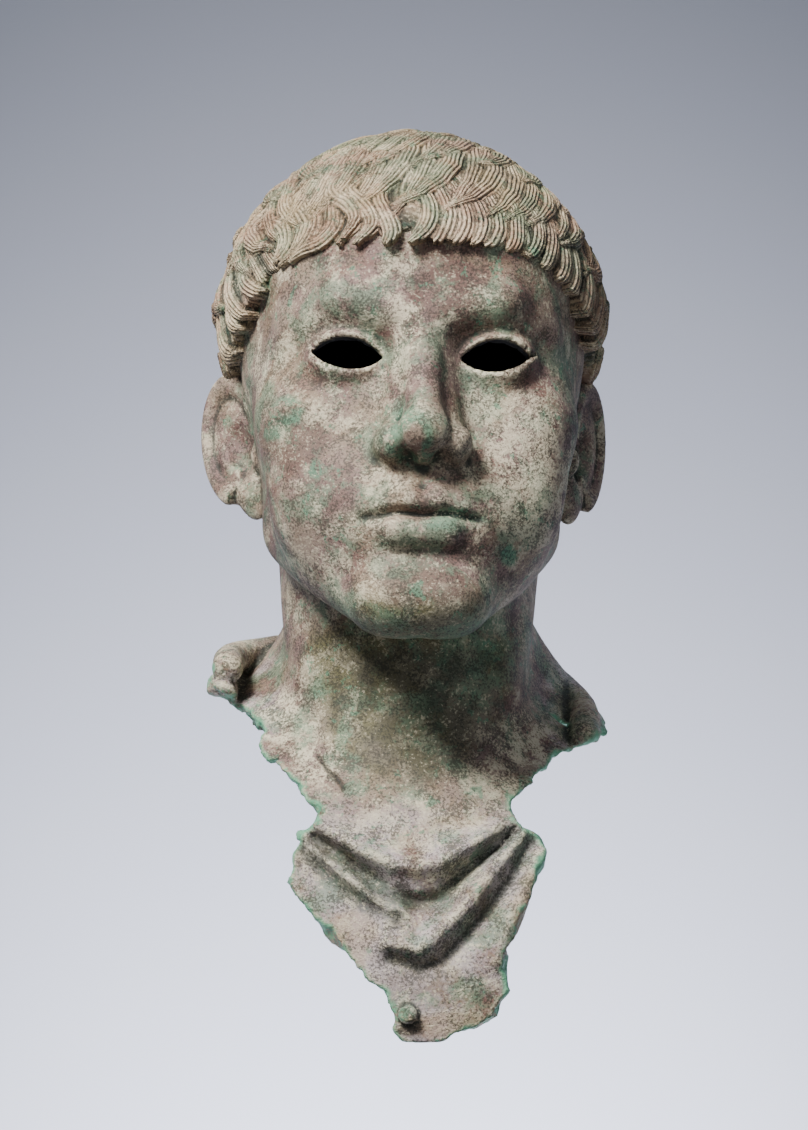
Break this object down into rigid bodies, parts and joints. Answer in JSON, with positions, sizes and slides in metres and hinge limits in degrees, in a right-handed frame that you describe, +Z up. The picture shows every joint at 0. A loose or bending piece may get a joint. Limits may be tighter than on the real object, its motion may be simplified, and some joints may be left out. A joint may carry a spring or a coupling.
{
  "type": "male bust fragment",
  "caption": "Hollow-cast bronze male head with combed hair, empty eyes, a broken collar and a tongue of folded cloth, lying on its back.",
  "frame": {"origin": "on the ground, in the middle of the flat under the back of the head", "axes": "+Z up, the way the face looks; +Y towards the crown of the head; +X to the right of someone who faces it"},
  "size_m": [0.1822, 0.4068, 0.2333],
  "materials": {
    "bronze": "matt, weathered bronze with a mottled green, ochre and pinkish-grey patina"
  },
  "bodies": {
    "root": {"bust": "bronze"}
  },
  "joints": []
}
